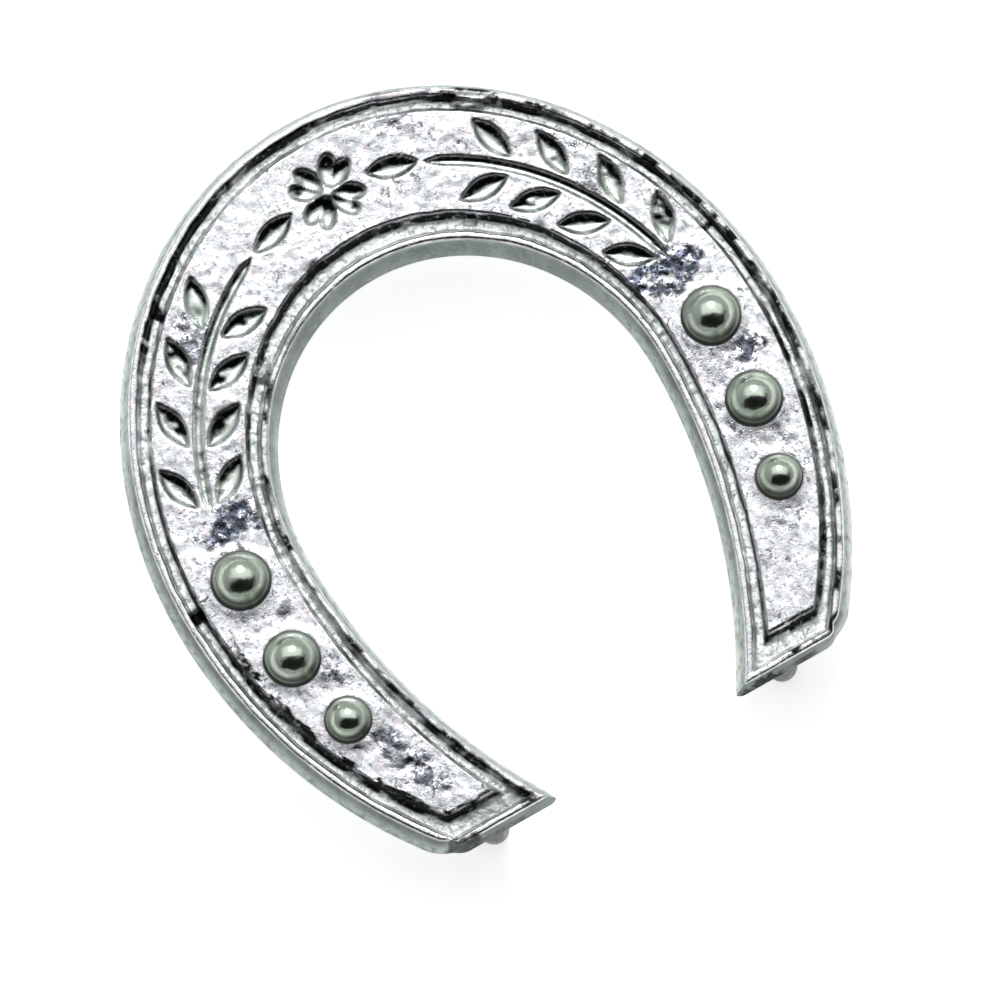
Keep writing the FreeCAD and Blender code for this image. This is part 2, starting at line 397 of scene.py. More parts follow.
def grid():
    """X, Y and rank of every vertex of the relief, as rows by columns."""
    ranks, shares = columns()
    rows = stations()
    x = np.zeros((len(rows), len(ranks)))
    y = np.zeros_like(x)
    rank = np.zeros_like(x)
    curves = [outline_values(value) for value in ranks]
    heel_order = OUTLINES[:, 6]
    for row, (kind, place) in enumerate(rows):
        heel_rank = LAST if kind == "toe" else np.interp(place, heel_order, range(LAST + 1))
        for column, (curve, share) in enumerate(zip(curves, shares)):
            out_x, out_y = outline_point(*curve[:3], kind, place)
            in_x, in_y = outline_point(*curve[3:6], kind, place)
            x[row, column] = out_x + (in_x - out_x) * share
            y[row, column] = out_y + (in_y - out_y) * share
            rank[row, column] = min(ranks[column], heel_rank)
    return *rounded_corners(x, y), rank


# ---------------------------------------------------------------- relief

def profile(distance):
    """The height at a distance in from the back edge, with softened edges."""
    fine = np.linspace(-0.5, 2.5, 1501)
    sharp = np.interp(fine, DISTANCES, LEVELS)
    step = fine[1] - fine[0]
    reach = int(4 * EDGE_SOFTNESS / step)
    offsets = np.arange(-reach, reach + 1) * step
    weights = np.exp(-0.5 * (offsets / EDGE_SOFTNESS) ** 2)
    soft = np.convolve(sharp, weights / weights.sum(), mode="same")
    keep = smooth_step(0.02, 0.25, fine)
    soft = sharp * (1.0 - keep) + soft * keep
    soft[fine > 2.0] = LEVELS[-1]
    return np.interp(distance, fine, soft)


def on_stem(angle):
    turn = math.radians(angle)
    x = STEM_LINE[0] * math.cos(turn)
    y = WAIST_Y + STEM_LINE[1] * math.sin(turn)
    along = math.atan2(STEM_LINE[1] * math.cos(turn), -STEM_LINE[0] * math.sin(turn))
    return x, y, math.degrees(along)


def leaf_places():
    """Centre and heading of every leaf on the right sprig."""
    places = []
    for angle in LEAF_ANGLES:
        x, y, along = on_stem(angle)
        for lean in (1, -1):
            away = math.radians(along + lean * 90.0)
            places.append((x + LEAF_OFFSET * math.cos(away), y + LEAF_OFFSET * math.sin(away),
                           along + lean * LEAF_TILT))
    places.append(on_stem(TIP_LEAF_ANGLE))
    return places


def local(x, y, centre_x, centre_y, heading):
    turn = math.radians(heading)
    dx = x - centre_x
    dy = y - centre_y
    return dx * math.cos(turn) + dy * math.sin(turn), dy * math.cos(turn) - dx * math.sin(turn)


def cut_depth(inside, depth, wall):
    """The depth of a cut at a distance inside its rim: steep walls and a soft valley."""
    inside = np.maximum(inside, 0.0)
    return depth * (1.0 - np.exp(-(inside / wall) ** 1.3))


def engraving(x, y):
    """How deep the ornament is cut at each point."""
    x = np.abs(x)
    half_width, height = STEM_LINE
    first, last = STEM_ANGLES
    rise = y - WAIST_Y
    rho = np.hypot(x / half_width, rise / height) + TINY
    slope = np.hypot(x / half_width ** 2, rise / height ** 2) / rho
    angle = np.degrees(np.arctan2(rise / height, x / half_width))
    taper = smooth_step(first, first + STEM_TAPER, angle)
    taper = taper * smooth_step(last, last - STEM_TAPER, angle)
    away = np.abs(rho - 1.0) / np.maximum(slope, TINY)
    depth = cut_depth(STEM_WIDTH / 2 * np.sqrt(taper) - away, STEM_DEPTH, STEM_WALL)
    for centre_x, centre_y, heading in leaf_places():
        along, across = local(x, y, centre_x, centre_y, heading)
        half = LEAF_HALF_WIDTH * (1.0 - (along / LEAF_HALF_LENGTH) ** 2)
        inside = (half - np.abs(across)) * LEAF_SLOPE
        depth = np.maximum(depth, cut_depth(inside, LEAF_DEPTH, LEAF_WALL))
    for quarter in (45.0, -45.0):
        for lean in (-CLOVER_LEAN, CLOVER_LEAN):
            turn = math.radians(quarter + lean)
            centre_x = CLOVER_CENTRE[0] + CLOVER_REACH * math.cos(turn)
            centre_y = CLOVER_CENTRE[1] + CLOVER_REACH * math.sin(turn)
            along, across = local(x, y, centre_x, centre_y, quarter + lean)
            far = np.hypot(along / CLOVER_HALF_LENGTH, across / CLOVER_HALF_WIDTH)
            inside = (1.0 - far) * CLOVER_HALF_WIDTH
            depth = np.maximum(depth, cut_depth(inside, LEAF_DEPTH, LEAF_WALL))
    return depth


def stud_facts():
    """Centre, collar radius and top of each stud, from the CAD boxes."""
    facts = {}
    for side_name in SIDES:
        for size in STUD_SIZES:
            low, high = node_box(side_name + "_stud_" + size)
            middle = ((low[0] + high[0]) / 2, (low[1] + high[1]) / 2)
            facts[side_name, size] = (*middle, (high[0] - low[0]) / 2, high[2])
    return facts


STUDS = stud_facts()


def spots(x, y, places):
    """Soft-edged ragged spots, each from 0 outside to its strength inside."""
    total = np.zeros_like(x)
    ragged = 0.35 * noise(x, y, 0.6, 61) + 0.2 * noise(x, y, 0.25, 62)
    for centre_x, centre_y, half_width, half_length, turn, strength in places:
        along, across = local(x, y, centre_x, centre_y, 90.0 + turn)
        far = np.hypot(along / half_length, across / half_width) + ragged
        total = np.maximum(total, strength * (1.0 - smooth_step(0.65, 1.1, far)))
    return total


def away_from_light(x, y, z):
    """How far each spot of the relief leans away from the lit side, from -1 to 1."""
    along = [np.gradient(value, axis=0) for value in (x, y, z)]
    across = [np.gradient(value, axis=1) for value in (x, y, z)]
    normal_x = along[1] * across[2] - along[2] * across[1]
    normal_y = along[2] * across[0] - along[0] * across[2]
    normal_z = along[0] * across[1] - along[1] * across[0]
    length = np.sqrt(normal_x ** 2 + normal_y ** 2 + normal_z ** 2) + TINY
    sign = np.where(normal_z < 0, -1.0, 1.0) / length
    return -(normal_x * LIT_SIDE[0] + normal_y * LIT_SIDE[1]) * sign


def spread(value, region):
    """Carries the value of the wall over the flat ground at its foot."""
    weights = region * np.abs(value - 0.5) + LEAST_WEIGHT
    total = value * weights
    for _ in range(6):
        weights = (np.roll(weights, 1, 1) + weights + np.roll(weights, -1, 1)) / 3.0
        total = (np.roll(total, 1, 1) + total + np.roll(total, -1, 1)) / 3.0
    return total / weights


def band(value, steps):
    """1 between two soft steps and 0 outside them."""
    start, end = steps
    return smooth_step(*start, value) * (1.0 - smooth_step(*end, value))


def layered(x, y, layers):
    return sum(height * noise(x, y, size, seed) for height, size, seed in layers)


def heights(x, y, distance, wobble, on_field, in_channel, cut, rough):
    """The height of every vertex: the profile with its cuts, swells, grain and flaws."""
    wobbled = wobble * smooth_step(0.3, 0.7, distance) * (distance < FIELD_SURFACE)
    z = profile(distance + wobbled) - cut
    crinkle = CRINKLE_HEIGHT + ROUGH_CRINKLE_HEIGHT * rough
    crinkle = crinkle * rough_noise(x, y, 0.40, 13, 2)
    smoother_in_cuts = 1.0 - 0.6 * smooth_step(0.0, 0.05, cut)
    z = z + on_field * (layered(x, y, SWELL) + crinkle) * smoother_in_cuts
    grain = GRAIN_HEIGHT * rough_noise(x, y, 0.26, 21) + layered(x, y, [CHANNEL_SWELL])
    z = z + in_channel * grain
    side = (1.0 - smooth_step(0.45, 0.55, distance)) * smooth_step(0.0, 0.15, distance)
    z = z + side * SIDE_GRAIN_HEIGHT * rough_noise(x, y, 0.5, 31)
    flaw_share = smooth_step(*FLAW_START, distance) * (1.0 - on_field)
    for *place, rise, _ in FLAWS:
        z = z + rise * spots(x, y, [(*place, 1.0)]) * flaw_share
    for centre_x, centre_y, radius, _ in STUDS.values():
        away = np.hypot(x - centre_x, y - centre_y) - radius
        fillet = np.exp(-np.maximum(away, 0.0) ** 2 / 0.10) * (away < 1.2)
        z = z + STUD_FILLET_HEIGHT * fillet * on_field
    return z


def near_studs(x, y):
    """1 under each stud and at its rim, 0 a tenth of a millimetre away."""
    near = np.zeros_like(x)
    for centre_x, centre_y, radius, _ in STUDS.values():
        away = np.hypot(x - centre_x, y - centre_y) - radius
        near = np.maximum(near, 1.0 - smooth_step(0.02, 0.10, away))
    return near


def wall_patina_and_shade(x, y, distance, edge, shade, on_field):
    """How dark the walls, the lip and the sides are: patina in the hollows, with painted shade
    where a wall or side faces away from the light and a painted shadow low on the heel ends. The
    lines are heaviest where a wall faces away from the light, and worn or thinner on some
    stretches of the shoe."""
    inner = (np.arange(x.shape[1])[None, :] > x.shape[1] / 2).astype(float)
    outer = 1.0 - inner
    inner_leg = inner * smooth_step(4.0, -1.0, y)
    inner_toe = inner - inner_leg
    inner_left = inner * smooth_step(-3.0, -7.0, x)
    right_leg = outer * smooth_step(9.0, 12.0, x) * smooth_step(1.0, -4.0, y)
    right_toe = outer * smooth_step(9.0, 11.5, x)
    top_of_toe = outer * (y > 5.0) * smooth_step(0.5, 2.5, x) * smooth_step(8.0, 7.0, x)

    field_wall = band(edge, FIELD_WALL_BAND)
    lip_wall = band(edge, LIP_WALL_BAND)
    turned_away = spread(shade, np.maximum(field_wall, lip_wall))

    start, end = FIELD_LINE_BAND
    field_line = smooth_step(*start, edge - 0.05 * inner_leg)
    field_line = field_line * (1.0 - smooth_step(*end, edge + 0.03 * inner_leg))
    heavy = spots(x, y, HEAVY_LINES) * smooth_step(*HEAVY_LINE_START, edge) * (edge < 1.60)
    field_line = np.maximum(field_line, heavy)

    start, end = LIP_LINE_BAND
    uneven = edge + 0.09 * noise(x, y, 2.2, 47)
    lip_line = smooth_step(*start, edge - 0.12 * (right_toe + top_of_toe))
    lip_line = lip_line * (1.0 - smooth_step(*end, uneven))
    worn = LIP_LINE_DARKNESS - INNER_LEFT_EASE * inner_left * smooth_step(-14.0, -11.0, y)
    worn = worn - RIGHT_LEG_EASE * right_leg
    lip_line = lip_line * (worn + 0.3 * rough_noise(x, y, 0.9, 44, 2))

    broken = 0.45 + 0.45 * rough_noise(x, y, 1.6, 43, 2)
    walls = np.maximum(field_wall, LIT_LIP_DARKNESS * lip_wall) * np.clip(broken, 0.1, 0.9)
    # Painted shade: the dark lines at the foot of the walls show only where the wall faces away
    # from the light
    facing_away = smooth_step(0.45, 0.78, turned_away)
    walls = np.maximum(walls, np.maximum(field_line, lip_line) * facing_away)
    right_foot = right_leg * smooth_step(*RIGHT_FOOT_START, edge) * (distance < FIELD_SURFACE)
    walls = np.maximum(walls, RIGHT_FOOT_DARKNESS * right_foot * np.clip(broken + 0.50, 0.50, 1.0))
    # Painted shade on the upper part of the sides that are turned away from the light
    upper_side = band(distance, UPPER_SIDE_BAND) * smooth_step(0.45, 0.9, shade)
    upper_darkness = UPPER_SIDE_DARKNESS - UPPER_SIDE_EASE_AT_TOE * inner_toe
    walls = np.maximum(walls, upper_darkness * upper_side)

    dull_side = np.where(inner > 0.5, smooth_step(-3.0, -7.0, x), smooth_step(3.0, 8.0, x))
    mottled = rough_noise(x, y, 0.9, 45, 3) + 0.15 * right_toe
    dull = band(edge, LIP_TOP_BAND) * dull_side * smooth_step(-0.25, 0.40, mottled)
    inner_shade = inner_toe * (1.0 - smooth_step(*INNER_SHADE_END, distance))
    # Painted shadow low on the heel ends
    heel_foot_shadow = (y < OUTLINES[1, 6] + 0.02) * (1.0 - smooth_step(*HEEL_FOOT_END, distance))
    return np.maximum.reduce([
        walls,
        INNER_SHADE_DARKNESS * inner_shade,
        DULL_LIP_DARKNESS * dull,
        heel_foot_shadow * (0.45 + 0.3 * noise(x, y, 1.2, 46)),
        spots(x, y, STAINS_AND_HEEL_SHADOWS) * (1.0 - on_field),
    ])


def relief():
    """The plate's upper surface: positions, and the values that its material reads."""
    x, y, rank = grid()
    distance = np.interp(rank, range(LAST + 1), DISTANCES)
    wobble = layered(x, y, WOBBLE)
    edge = distance + wobble
    on_field = smooth_step(*FIELD_START, edge)
    in_channel = band(distance, CHANNEL_BAND)
    cut = engraving(x, y) * on_field
    rough = spots(x, y, ROUGH_PATCHES) * on_field
    z = heights(x, y, distance, wobble, on_field, in_channel, cut, rough)

    shade = smooth_step(-0.30, 0.40, away_from_light(x, y, z))
    walls = wall_patina_and_shade(x, y, distance, edge, shade, on_field)
    # Painted shade in the engraved cuts on the side turned away from the light, over a faint
    # patina
    cut_patina_and_shade = smooth_step(0.03, 0.16, cut) * (0.05 + 0.95 * smooth_step(0.35, 0.9, shade))
    # Patina and painted shade in the crease round the foot of each stud
    crease = STUD_CREASE_DARKNESS * near_studs(x, y) * on_field
    flaw_stains = sum(darkness * spots(x, y, [(*place, 1.0)]) for *place, _, darkness in FLAWS)
    flaw_stains = flaw_stains * smooth_step(*FLAW_STAIN_START, distance) * (1.0 - on_field)
    patina_and_shade = np.maximum.reduce([walls, cut_patina_and_shade, crease]) * (1.0 + 0.25 * noise(x, y, 0.7, 41))
    # Painted light: the low part of the sides is lighter, much less so where it faces away from
    # the light
    painted_light_facing = 1.0 - 0.75 * smooth_step(0.45, 0.85, shade)
    return x, y, z, {
        "patina_and_shade": np.clip(patina_and_shade + flaw_stains, 0.0, 1.0),
        "grain": in_channel,
        "field": on_field * (1.0 - smooth_step(0.02, 0.10, cut)),
        "rough": rough,
        "side": 1.0 - smooth_step(*SIDE_END, distance),
        "cut": smooth_step(0.02, 0.14, cut),
        "low": (1.0 - smooth_step(*LOW_SIDE_END, distance)) * painted_light_facing,
    }


# ---------------------------------------------------------------- mesh helpers

def make_object(name, data):
    thing = bpy.data.objects.new(name, data)
    bpy.context.scene.collection.objects.link(thing)
    return thing


def grid_faces(rows, count):
    """The four-sided faces of a grid of vertices that is stored row by row, seen from above."""
    row, column = np.meshgrid(np.arange(rows - 1), np.arange(count - 1), indexing="ij")
    first = row * count + column
    faces = np.stack([first, first + count, first + count + 1, first + 1], axis=-1)
    return faces.reshape(-1, 4).tolist()


def mesh_from(name, points, faces, values):
    """A smooth mesh in metres with a value on every vertex for each named attribute."""
    mesh = bpy.data.meshes.new(name)
    mesh.from_pydata((points * MM).tolist(), [], faces)
    mesh.update()
    mesh.polygons.foreach_set("use_smooth", np.ones(len(mesh.polygons), dtype=bool))
    for key, data in values.items():
        attribute = mesh.attributes.new(key, "FLOAT", "POINT")
        attribute.data.foreach_set("value", data.astype(np.float32).ravel())
    return mesh


def lathe(outline, centre, segments, wobble_seed):
    """A turned piece, a little out of true, from radius and height pairs that run up its
    outside from one centre point to another."""
    turns = np.linspace(0.0, 2.0 * math.pi, segments, endpoint=False)
    uneven = 1.0 + 0.008 * np.sin(turns * 2.0 + wobble_seed)
    uneven = uneven + 0.005 * np.sin(turns * 3.0 + 2.1 * wobble_seed)
    points = [(centre[0], centre[1], outline[0][1])]
    for radius, height in outline[1:-1]:
        for turn, stretch in zip(turns, uneven):
            across = radius * stretch * math.cos(turn)
            along = radius * stretch * math.sin(turn)
            points.append((centre[0] + across, centre[1] + along, height))
    points.append((centre[0], centre[1], outline[-1][1]))
    last_ring = 1 + (len(outline) - 3) * segments
    faces = []
    for here in range(segments):
        after = (here + 1) % segments
        faces.append((0, 1 + after, 1 + here))
        for ring in range(1, last_ring, segments):
            upper = ring + segments
            faces.append((ring + here, ring + after, upper + after, upper + here))
        faces.append((last_ring + here, last_ring + after, len(points) - 1))
    return np.array(points), faces


# ---------------------------------------------------------------- pieces

def back_sheet(x, y, kept, start):
    """The plate's back: new points inside the relief's border, whose own border is shared."""
    rows, count = x.shape
    inside = kept[1:-1]
    hollow = 0.5 + 0.5 * rough_noise(x[1:-1, inside], y[1:-1, inside], 0.7, 51)
    z = BACK_Z + 0.03 * np.clip(hollow, 0.0, 1.2)
    points = np.stack([x[1:-1, inside], y[1:-1, inside], z], axis=-1).reshape(-1, 3)

    def point(row, column):
        if column in (0, len(kept) - 1):
            return row * count + kept[column]
        return start + (row - 1) * len(inside) + column - 1

    def heel(row, column):
        return [row * count + place for place in range(kept[column], kept[column + 1] + 1)]

    faces = []
    for column in range(len(kept) - 1):
        faces.append(heel(0, column) + [point(1, column + 1), point(1, column)])
        for row in range(1, rows - 2):
            faces.append((point(row, column), point(row, column + 1),
                          point(row + 1, column + 1), point(row + 1, column)))
        far = heel(rows - 1, column)
        faces.append([point(rows - 2, column), point(rows - 2, column + 1)] + far[::-1])
    return points, faces


def shoe_plate():
    x, y, z, values = relief()
    rows, count = x.shape
    top = np.stack([x, y, z], axis=-1).reshape(-1, 3)
    kept = [0] + list(range(BACK_FIRST, count - 1, BACK_STEP)) + [count - 1]
    under, under_faces = back_sheet(x, y, kept, len(top))
    for key, data in values.items():
        values[key] = np.concatenate([data.ravel(), np.full(len(under), BACK_VALUES[key])])
    faces = grid_faces(rows, count) + under_faces
    mesh = mesh_from("shoe_plate_cast", np.concatenate([top, under]), faces, values)
    mesh.set_sharp_from_angle(angle=math.radians(SHARP_ANGLE))
    plate = make_object("shoe_plate_cast", mesh)
    plate.data.materials.append(cast_silver())
    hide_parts("shoe_plate")
    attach(plate, "root")


def arc(centre_r, centre_z, radius, start, end, steps):
    """Points of an arc in the turning plane, angles in degrees from straight out."""
    turns = np.radians(np.linspace(start, end, steps))
    return [(centre_r + radius * math.cos(turn), centre_z + radius * math.sin(turn))
            for turn in turns]


def stud_outline(radius, top):
    """Tail, shank, collar and dome of a stud, from the middle of its tail to its crown."""
    dome_radius = radius * DOME_SHARE
    rise = top - FIELD_Z - DOME_BASE
    ball = (dome_radius ** 2 + rise ** 2) / (2.0 * rise)
    dome = arc(0.0, top - ball, ball, *DOME_ANGLES, DOME_STEPS)
    tail = [(r, BACK_Z + z) for r, z in STUD_TAIL]
    shank = [(SHANK_RADIUS, BACK_Z + 0.35), (SHANK_RADIUS, FIELD_Z + STUD_COLLAR[0][1])]
    collar = [(radius - inset, FIELD_Z + z) for inset, z in STUD_COLLAR]
    crease_r = (collar[-1][0] + dome[0][0]) / 2 - 0.01
    crease_z = (collar[-1][1] + dome[0][1]) / 2 - 0.03
    return tail + shank + collar + [(crease_r, crease_z)] + dome + [(0.0, top)]


def stud_patina_and_shade(points, x, y, radius):
    """Dark in the crease round the collar, as patina and painted shade, and painted shade further
    up the side that is turned away from the light.
    """
    east = (points[:, 0] - x) / radius
    north = (points[:, 1] - y) / radius
    rim = np.hypot(east, north)
    away = -(east * LIT_SIDE[0] + north * LIT_SIDE[1]) / (rim + TINY)
    crease = smooth_step(0.86, 0.97, rim)
    shade = smooth_step(0.62, 0.95, rim) * smooth_step(-0.4, 0.9, away)
    return np.clip(0.8 * crease + 0.75 * shade, 0.0, 1.0) * (points[:, 2] > FIELD_Z - 0.1)


def studs():
    material = stud_metal()
    for number, ((side_name, size), (x, y, radius, top)) in enumerate(STUDS.items()):
        outline = stud_outline(radius, top)
        points, faces = lathe(outline, (x, y), STUD_SEGMENTS, 1.0 + number * 1.7)
        name = side_name + "_stud_" + size + "_head"
        patina_and_shade = stud_patina_and_shade(points, x, y, radius)
        rim = smooth_step(0.50, 0.74, np.hypot(points[:, 0] - x, points[:, 1] - y) / radius)
        mesh = mesh_from(name, points, faces, {"patina_and_shade": patina_and_shade, "rim": rim})
        stud = make_object(name, mesh)
        stud.data.materials.append(material)
        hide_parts(side_name + "_stud_" + size)
        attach(stud, "root")


def pegs():
    material = peg_metal()
    for number, node in enumerate(PEG_NAMES):
        low, high = node_box(node)
        centre = ((low[0] + high[0]) / 2, (low[1] + high[1]) / 2)
        radius = (high[0] - low[0]) / 2
        outline = [(0.0, 0.0), (radius * 0.4, 0.0), (radius - 0.22, 0.01)]
        outline += arc(radius - PEG_ROUNDING, PEG_ROUNDING, PEG_ROUNDING, -80.0, 0.0, 8)
        outline += [(radius * 0.985, 1.2), (radius * 0.99, 2.4), (radius, BACK_Z - 0.12)]
        outline += [(radius + 0.05, BACK_Z - 0.04), (radius + 0.12, BACK_Z + 0.01)]
        outline += [(radius, BACK_Z + 0.10), (0.0, BACK_Z + 0.10)]
        points, faces = lathe(outline, centre, PEG_SEGMENTS, 3.0 + number)
        name = node + "_cast"
        # Painted shade: each peg is darker higher up, under the plate
        shade_under_plate = smooth_step(0.3, 1.6, points[:, 2])
        mesh = mesh_from(name, points, faces, {"patina_and_shade": shade_under_plate})
        peg = make_object(name, mesh)
        peg.data.materials.append(material)
        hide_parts(node)
        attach(peg, "root")


# ---------------------------------------------------------------- materials

def set_range(node, *limits):
    for key, limit in zip(("From Min", "From Max", "To Min", "To Max"), limits):
        node.inputs[key].default_value = limit


class Nodes:
    """Short names for building a material's node tree."""

    def __init__(self, name):
        self.material = bpy.data.materials.new(name)
        self.material.use_nodes = True
        self.tree = self.material.node_tree
        self.shader = self.tree.nodes["Principled BSDF"]
        coordinates = self.add("ShaderNodeTexCoord").outputs["Object"]
        scale = self.add("ShaderNodeVectorMath", operation="SCALE")
        self.link(coordinates, scale.inputs[0])
        scale.inputs["Scale"].default_value = 1.0 / MM
        self.place = scale.outputs[0]

    def add(self, kind, **settings):
        node = self.tree.nodes.new(kind)
        for key, value in settings.items():
            setattr(node, key, value)
        return node

    def link(self, source, target):
        self.tree.links.new(source, target)

    def feed(self, target, value):
        if isinstance(value, (int, float, tuple)):
            target.default_value = value
        else:
            self.link(value, target)

    def attribute(self, name):
        return self.add("ShaderNodeAttribute", attribute_name=name).outputs["Fac"]

    def noise(self, per_mm, detail=3.0, roughness=0.55, distortion=0.0):
        node = self.add("ShaderNodeTexNoise")
        self.link(self.place, node.inputs["Vector"])
        node.inputs["Scale"].default_value = per_mm
        node.inputs["Detail"].default_value = detail
        node.inputs["Roughness"].default_value = roughness
        node.inputs["Distortion"].default_value = distortion
        return node.outputs["Fac"]

    def cells(self, per_mm):
        node = self.add("ShaderNodeTexVoronoi", feature="F1")
        self.link(self.place, node.inputs["Vector"])
        node.inputs["Scale"].default_value = per_mm
        return node.outputs["Distance"]

    def maths(self, operation, first, second, clamp=False):
        node = self.add("ShaderNodeMath", operation=operation, use_clamp=clamp)
        self.feed(node.inputs[0], first)
        self.feed(node.inputs[1], second)
        return node.outputs[0]

    def times(self, first, second, clamp=False):
        return self.maths("MULTIPLY", first, second, clamp)

    def plus(self, first, second, clamp=False):
        return self.maths("ADD", first, second, clamp)

    def larger(self, first, second, clamp=False):
        return self.maths("MAXIMUM", first, second, clamp)

    def ramp(self, value, low, high, to_low=0.0, to_high=1.0):
        node = self.add("ShaderNodeMapRange", interpolation_type="SMOOTHSTEP")
        self.feed(node.inputs["Value"], value)
        set_range(node, low, high, to_low, to_high)
        return node.outputs["Result"]

    def mix(self, share, first, second):
        node = self.add("ShaderNodeMix", data_type="RGBA")
        self.feed(node.inputs["Factor"], share)
        colours = [socket for socket in node.inputs if socket.type == "RGBA"]
        self.feed(colours[0], first)
        self.feed(colours[1], second)
        return [socket for socket in node.outputs if socket.type == "RGBA"][0]

    def bump(self, height, depth_mm, normal=None):
        node = self.add("ShaderNodeBump")
        self.link(height, node.inputs["Height"])
        node.inputs["Strength"].default_value = 1.0
        node.inputs["Distance"].default_value = depth_mm * MM
        if normal is not None:
            self.link(normal, node.inputs["Normal"])
        return node.outputs["Normal"]

    def finish(self, colour, roughness, normal, metallic):
        self.shader.inputs["Metallic"].default_value = metallic
        self.feed(self.shader.inputs["Base Color"], colour)
        self.feed(self.shader.inputs["Roughness"], roughness)
        self.link(normal, self.shader.inputs["Normal"])
        return self.material


def cast_silver():
    """Antiqued silver plating: bright high parts, a sandy channel, dark patina in the grooves,
    painted shade on the walls turned away from the light and painted light low on the lit sides.
    """
    n = Nodes("cast_silver")
    patina_and_shade = n.attribute("patina_and_shade")
    grain = n.attribute("grain")
    field = n.attribute("field")
    rough = n.attribute("rough")
    side = n.attribute("side")
    cut = n.attribute("cut")
    low = n.attribute("low")

    # Dark marks on the field: pits, cracks and specks
    pits = n.times(n.ramp(n.cells(5.0), 0.34, 0.14), rough)
    crack_zone = n.larger(n.ramp(n.noise(0.55, 1.0), 0.46, 0.60), rough)
    crack = n.times(n.ramp(n.noise(2.3, 3.0, 0.60, 1.4), 0.60, 0.67), crack_zone)
    specks = n.ramp(n.noise(4.2, 3.0, 0.62), 0.57, 0.66)
    specks = n.times(specks, n.ramp(rough, 0.0, 1.0, 0.55, 0.95))
    marks = n.larger(n.times(pits, 0.8), n.times(crack, 0.75))
    marks = n.times(n.larger(marks, specks), field)

    # Sand in the channel, stains on the sides, and patina and painted shade with a broken edge
    sand = n.times(n.times(n.ramp(n.noise(4.8, 4.0, 0.68), 0.50, 0.64), grain), 0.52)
    darkening = n.times(n.times(n.ramp(n.noise(2.2, 5.0, 0.65), 0.42, 0.72), side), 0.55)
    edge_break = n.ramp(n.noise(3.4, 4.0, 0.65), 0.30, 0.50, 0.72, 1.20)
    dark = n.times(patina_and_shade, edge_break, clamp=True)
    dark = n.larger(dark, n.larger(marks, n.larger(sand, darkening)), clamp=True)

    # Colour
    silver = n.mix(n.ramp(n.noise(1.6, 3.0), 0.35, 0.65), SILVER_COOL, SILVER_WARM)
    blued = n.ramp(n.plus(n.noise(2.1, 4.0, 0.62), n.times(rough, 0.11)), 0.43, 0.58)
    blued = n.times(blued, n.ramp(rough, 0.0, 1.0, 0.20, 0.97))
    silver = n.mix(blued, silver, SILVER_BLUED)
    sandy = n.mix(n.noise(2.4, 2.0), SAND_DARK, SAND_LIGHT)
    colour = n.mix(grain, silver, sandy)
    colour = n.mix(n.times(cut, 0.8), colour, CUT_TINT)
    cast = n.mix(n.noise(1.2, 3.0), CAST_DARK, CAST_LIGHT)
    # Painted light: the low part of each side is lighter where it faces the light
    cast = n.mix(n.times(low, 0.62), cast, CAST_LOW_PAINTED_LIGHT)
    colour = n.mix(side, colour, cast)
    colour = n.mix(dark, colour, PATINA_AND_SHADE_BLACK)

    roughness = n.ramp(n.noise(3.0, 3.0), 0.3, 0.7, 0.14, 0.24)
    roughness = n.plus(roughness, n.times(grain, 0.20))
    roughness = n.plus(roughness, n.times(side, 0.28))
    roughness = n.plus(roughness, n.times(dark, 0.20), clamp=True)

    normal = n.bump(n.noise(8.0, 4.0, 0.7), 0.016)
    normal = n.bump(n.times(n.noise(5.5, 4.0, 0.7), n.plus(grain, side)), 0.06, normal)
    normal = n.bump(n.times(n.larger(pits, crack), -1.0), 0.03, normal)
    return n.finish(colour, roughness, normal, 1.0)


def stud_metal():
    """Smooth, darker, glossy metal of the domed studs."""
    n = Nodes("stud_metal")
    colour = n.mix(n.noise(1.6, 3.0), STUD_DARK, STUD_LIGHT)
    flecks = n.ramp(n.noise(5.0, 4.0, 0.7), 0.62, 0.75)
    # Patina and painted shade at the collar and on the side turned away from the light, with a few
    # flecks
    dark = n.larger(n.times(n.attribute("patina_and_shade"), 0.9), n.times(flecks, 0.25), clamp=True)
    colour = n.mix(dark, colour, STUD_PATINA_AND_SHADE)
    roughness = n.ramp(n.noise(2.5, 4.0), 0.3, 0.7, 0.14, 0.22)
    roughness = n.plus(roughness, n.times(n.attribute("rim"), 0.20))
    normal = n.bump(n.noise(1.3, 2.0), 0.035)
    normal = n.bump(n.noise(9.0, 3.0), 0.004, normal)
    return n.finish(colour, roughness, normal, 1.0)


def peg_metal():
    """Dull as-cast metal of the back pegs, with random stains and painted shade that darkens each
    peg towards the plate above it.
    """
    n = Nodes("peg_metal")
    darkening = n.ramp(n.noise(1.8, 4.0, 0.65), 0.42, 0.66, 0.0, 0.7)
    # Painted shade joins the stains: each peg darker towards the plate above it
    darkening = n.larger(darkening, n.times(n.attribute("patina_and_shade"), 0.9))
    colour = n.mix(darkening, PEG_TONE, PEG_STAIN_AND_SHADE)
    roughness = n.ramp(n.noise(3.5, 4.0), 0.3, 0.7, 0.30, 0.48)
    return n.finish(colour, roughness, n.bump(n.noise(7.0, 4.0, 0.7), 0.02), 1.0)


def floor_white():
    """A matt white floor that glows a little of its own."""
    n = Nodes("floor_white")
    tone = n.mix(n.noise(0.05, 3.0), FLOOR_DARK, FLOOR_LIGHT)
    n.shader.inputs["Specular IOR Level"].default_value = 0.1
    n.shader.inputs["Emission Color"].default_value = WHITE
    n.shader.inputs["Emission Strength"].default_value = FLOOR_GLOW
    return n.finish(tone, 0.8, n.bump(n.noise(3.0, 2.0), 0.002), 0.0)


# ---------------------------------------------------------------- stage

